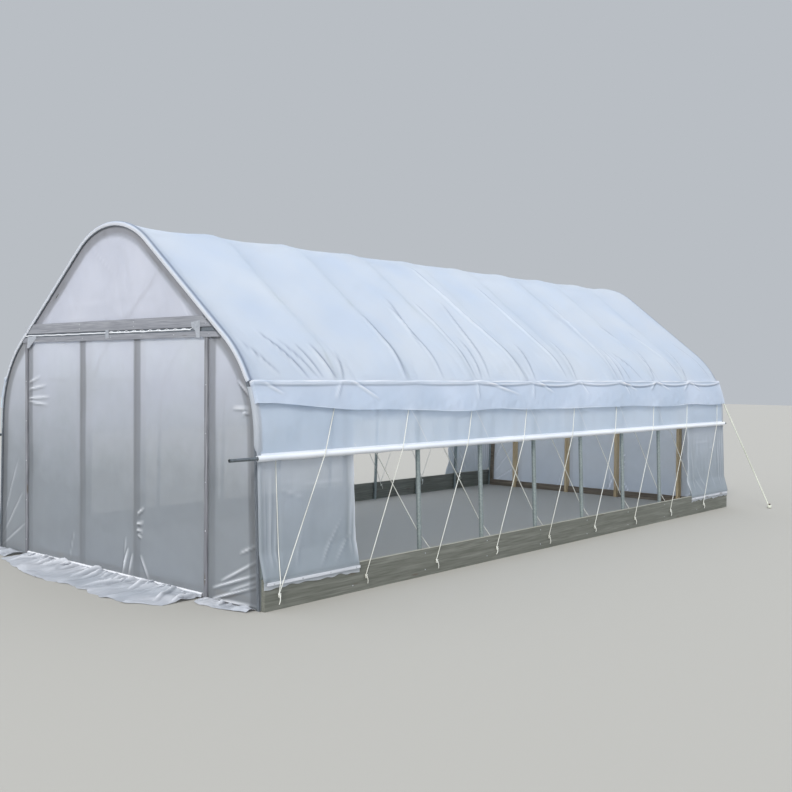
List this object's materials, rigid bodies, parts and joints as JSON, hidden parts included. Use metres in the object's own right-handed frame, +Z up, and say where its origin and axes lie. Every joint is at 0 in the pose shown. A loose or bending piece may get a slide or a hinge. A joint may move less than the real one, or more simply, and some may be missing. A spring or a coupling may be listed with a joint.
{
  "type": "polytunnel greenhouse",
  "caption": "Gothic-arch polytunnel with bent pipe bows, timber-framed film ends, timber side boards and roll-up side curtains held by zigzag cord.",
  "frame": {"origin": "on the ground at the middle of the front wall, in the plane of the front bow, on the underside of the middle kick board", "axes": "+Y along the tunnel towards the rear wall, +X to the right seen from the front, +Z up"},
  "size_m": [5.008, 9.3602, 3.0553],
  "materials": {
    "galvanised_pipe": "dull zinc",
    "roof_film": "translucent polythene film",
    "side_film": "translucent polythene film",
    "wall_film": "translucent polythene film",
    "film_channel": "mill finish",
    "side_boards": "grey weathered sawn timber",
    "rope": "twisted cord",
    "stay_rope": "twisted cord",
    "stake_steel": "dull zinc",
    "hip_rail_wood": "sawn timber",
    "batten_wood": "whitewashed lath",
    "weathered_wood": "grey weathered sawn timber",
    "stud_wood": "sawn softwood"
  },
  "bodies": {
    "root": {"bow_1": "galvanised_pipe", "bow_10": "galvanised_pipe", "bow_2": "galvanised_pipe", "bow_3": "galvanised_pipe", "bow_4": "galvanised_pipe", "bow_5": "galvanised_pipe", "bow_6": "galvanised_pipe", "bow_7": "galvanised_pipe", "bow_8": "galvanised_pipe", "bow_9": "galvanised_pipe", "corner_battens": "batten_wood", "corner_films_left": "side_film", "corner_films_right": "side_film", "curtain_left": "side_film", "curtain_right": "side_film", "front_film_channels": "film_channel", "front_gable_film": "wall_film", "front_header": "weathered_wood", "front_nailer": "stud_wood", "front_rails": "stud_wood", "front_skirt": "wall_film", "front_studs": "stud_wood", "front_wall_battens": "weathered_wood", "front_wall_film": "wall_film", "hip_flap_left": "side_film", "hip_flap_right": "side_film", "hip_rails": "hip_rail_wood", "lacing_left": "rope", "lacing_right": "rope", "rear_film_channels": "film_channel", "rear_gable_film": "wall_film", "rear_header": "weathered_wood", "rear_nailer": "stud_wood", "rear_rails": "stud_wood", "rear_skirt": "wall_film", "rear_studs": "stud_wood", "rear_wall_battens": "weathered_wood", "rear_wall_film": "wall_film", "ridge_pipe": "galvanised_pipe", "roll_pipes": "galvanised_pipe", "roof_film": "roof_film", "side_boards_left": "side_boards", "side_boards_right": "side_boards", "stakes": "stake_steel", "stays": "stay_rope"}
  },
  "joints": []
}
